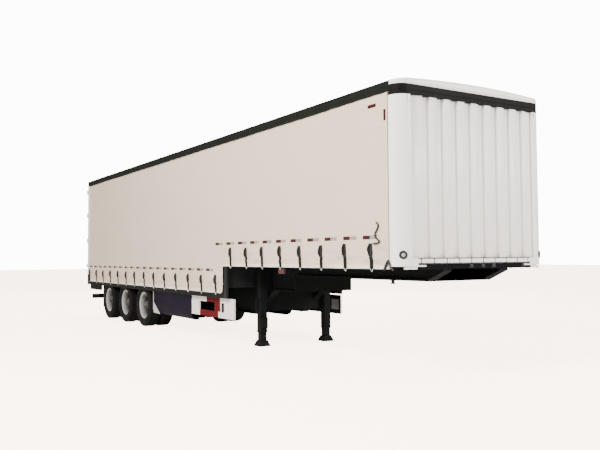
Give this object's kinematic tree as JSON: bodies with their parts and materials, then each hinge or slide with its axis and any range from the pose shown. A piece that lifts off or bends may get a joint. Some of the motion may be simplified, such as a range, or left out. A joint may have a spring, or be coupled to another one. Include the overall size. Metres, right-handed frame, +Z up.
{
  "type": "drop-deck curtain-side semi trailer",
  "caption": "Drop-deck semi trailer with closed fabric side curtains, fluted front wall, hinged rear doors, twin-tyred rear axles and landing legs down",
  "frame": {"origin": "on the ground, under the middle of the body", "axes": "+X towards the kingpin and the towing vehicle, +Y to the left, +Z up"},
  "size_m": [13.6977, 2.55, 3.75],
  "materials": {
    "chassis_paint": "satin black chassis paint",
    "galvanised": "galvanised steel",
    "wall_paint": "off-white paint",
    "header_paint": "dark grey-brown paint",
    "rail_paint": "near-black powder coat",
    "roof_sheet": "white roof laminate",
    "plywood": "phenolic-faced plywood",
    "curtain_fabric": "warm light grey coated polyester",
    "panel_paint": "dark aubergine gloss",
    "guard_paint": "white paint with red section",
    "wheel_paint": "bright silver-white paint",
    "tyre_rubber": "black tyre rubber",
    "bellows_rubber": "moulded rubber",
    "lamp_lens": "red and clear lenses",
    "bare_steel": "bare machined steel",
    "door_paint": "off-white paint",
    "webbing": "black polyester webbing",
    "buckle_coat": "black coated steel buckle",
    "marking_tape": "red and white reflective tape"
  },
  "bodies": {
    "root": {"main_beams": "chassis_paint", "cross_members": "chassis_paint", "side_rails": "rail_paint", "neck_floor": "plywood", "deck_floor": "plywood", "step_riser": "header_paint", "coupler_plate": "chassis_paint", "kingpin": "bare_steel", "front_wall": "wall_paint", "front_corner_posts": "wall_paint", "front_sill_rail": "wall_paint", "front_beam": "chassis_paint", "front_header": "header_paint", "roof_side_rails": "rail_paint", "roof_skin": "roof_sheet", "roof_bows": "galvanised", "side_posts": "galvanised", "curtain_right": "curtain_fabric", "curtain_left": "curtain_fabric", "curtain_poles": "galvanised", "rear_posts": "door_paint", "rear_header": "rail_paint", "rear_sill": "chassis_paint", "door_hinges": "galvanised", "landing_legs": "chassis_paint", "side_guards": "guard_paint", "side_panels": "panel_paint", "rear_side_bars": "chassis_paint", "rear_bumper": "chassis_paint", "lamps": "lamp_lens", "axles": "chassis_paint", "suspension_arms": "chassis_paint", "air_springs": "bellows_rubber", "air_tanks": "chassis_paint", "mud_flaps": "bellows_rubber"},
    "door_right": {"rear_door_right": "door_paint", "lock_gear_right": "galvanised"},
    "door_left": {"rear_door_left": "door_paint", "lock_gear_left": "galvanised"},
    "wheels_right_1": {"wheel_right_1": "wheel_paint", "tyres_right_1": "tyre_rubber"},
    "wheels_right_2": {"wheel_right_2": "wheel_paint", "tyres_right_2": "tyre_rubber"},
    "wheels_right_3": {"wheel_right_3": "wheel_paint", "tyres_right_3": "tyre_rubber"},
    "wheels_left_1": {"wheel_left_1": "wheel_paint", "tyres_left_1": "tyre_rubber"},
    "wheels_left_2": {"wheel_left_2": "wheel_paint", "tyres_left_2": "tyre_rubber"},
    "wheels_left_3": {"wheel_left_3": "wheel_paint", "tyres_left_3": "tyre_rubber"}
  },
  "joints": [
    {"name": "roll_right_1", "type": "hinge", "parent": "root", "child": "wheels_right_1", "pos_m": [-2.32, 0, 0.48], "axis": [0, 1, 0], "continuous": true},
    {"name": "roll_right_2", "type": "hinge", "parent": "root", "child": "wheels_right_2", "pos_m": [-3.63, 0, 0.48], "axis": [0, 1, 0], "continuous": true},
    {"name": "roll_right_3", "type": "hinge", "parent": "root", "child": "wheels_right_3", "pos_m": [-4.94, 0, 0.48], "axis": [0, 1, 0], "continuous": true},
    {"name": "roll_left_1", "type": "hinge", "parent": "root", "child": "wheels_left_1", "pos_m": [-2.32, 0, 0.48], "axis": [0, 1, 0], "continuous": true},
    {"name": "roll_left_2", "type": "hinge", "parent": "root", "child": "wheels_left_2", "pos_m": [-3.63, 0, 0.48], "axis": [0, 1, 0], "continuous": true},
    {"name": "roll_left_3", "type": "hinge", "parent": "root", "child": "wheels_left_3", "pos_m": [-4.94, 0, 0.48], "axis": [0, 1, 0], "continuous": true},
    {"name": "door_right_hinge", "type": "hinge", "parent": "root", "child": "door_right", "pos_m": [-6.83, -1.26, 2.35], "axis": [0, 0, 1], "range_deg": [0, 270]},
    {"name": "door_left_hinge", "type": "hinge", "parent": "root", "child": "door_left", "pos_m": [-6.83, 1.26, 2.35], "axis": [0, 0, -1], "range_deg": [0, 270]}
  ]
}
